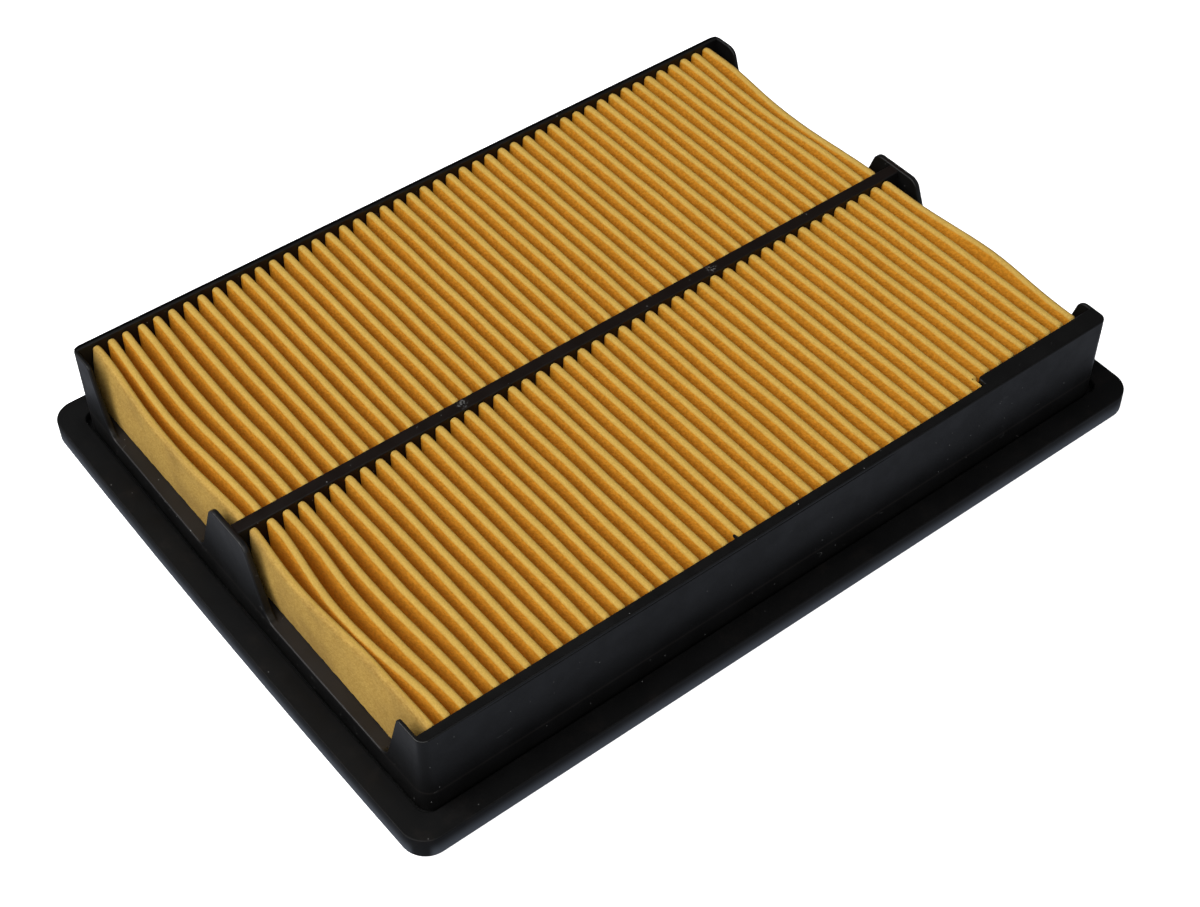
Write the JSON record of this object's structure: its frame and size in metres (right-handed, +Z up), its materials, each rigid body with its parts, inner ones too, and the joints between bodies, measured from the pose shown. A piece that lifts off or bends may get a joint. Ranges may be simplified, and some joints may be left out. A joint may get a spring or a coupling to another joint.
{
  "type": "motorcycle panel air filter",
  "caption": "Flat rectangular panel air filter: moulded black frame with windows of pleated paper side by side and a soft seal round its base.",
  "frame": {"origin": "centre of the seal's bottom face", "axes": "+X along the long side, +Y towards the long side with the thinner wall, +Z up, from the clean side to the dirty side"},
  "size_m": [0.282, 0.2084, 0.0381],
  "materials": {
    "frame_plastic": "satin black injection moulding with a faint flow sheen, fine dust and hairline scratches",
    "seal_rubber": "smooth black rubber, slightly duller than the frame",
    "filter_paper": "oiled yellow-tan filter paper with a fine fibrous surface, deeper orange between the pleats",
    "potting_resin": "cured black potting resin with a slightly wavy top edge",
    "hot_melt": "thin brown glue line"
  },
  "bodies": {
    "root": {"frame": "frame_plastic", "perimeter_seal": "seal_rubber", "front_pleat_pack": "filter_paper", "rear_pleat_pack": "filter_paper", "front_wall_potting": "potting_resin", "front_bar_potting": "potting_resin", "rear_bar_potting": "potting_resin", "rear_wall_potting": "potting_resin", "front_left_glue_strip": "hot_melt", "front_right_glue_strip": "hot_melt", "rear_left_glue_strip": "hot_melt", "rear_right_glue_strip": "hot_melt"}
  },
  "joints": []
}
